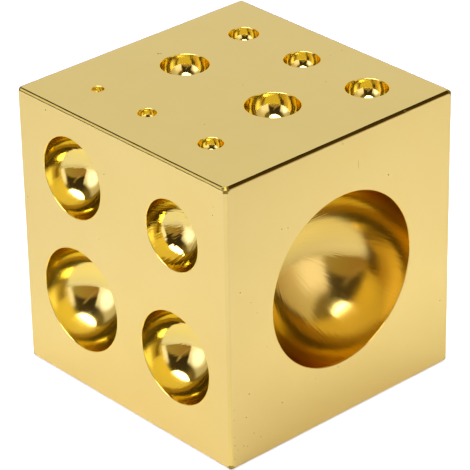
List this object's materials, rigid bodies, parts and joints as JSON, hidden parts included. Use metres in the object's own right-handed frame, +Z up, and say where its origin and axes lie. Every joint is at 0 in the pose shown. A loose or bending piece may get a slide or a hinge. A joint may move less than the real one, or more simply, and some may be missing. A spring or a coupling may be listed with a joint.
{
  "type": "dapping block",
  "caption": "Solid brass cube with graded round cavities in all six faces, for doming discs of sheet metal with ball-ended punches.",
  "frame": {"origin": "middle of the bottom face", "axes": "+Z up, out of the face with eight small cavities; -Y out of the face with four cavities; +X out of the face with one large cavity"},
  "size_m": [0.0496, 0.0488, 0.05],
  "materials": {
    "polished_brass": "mirror polished, with fine scratches and small pits"
  },
  "bodies": {
    "root": {"dapping_block": "polished_brass"}
  },
  "joints": []
}
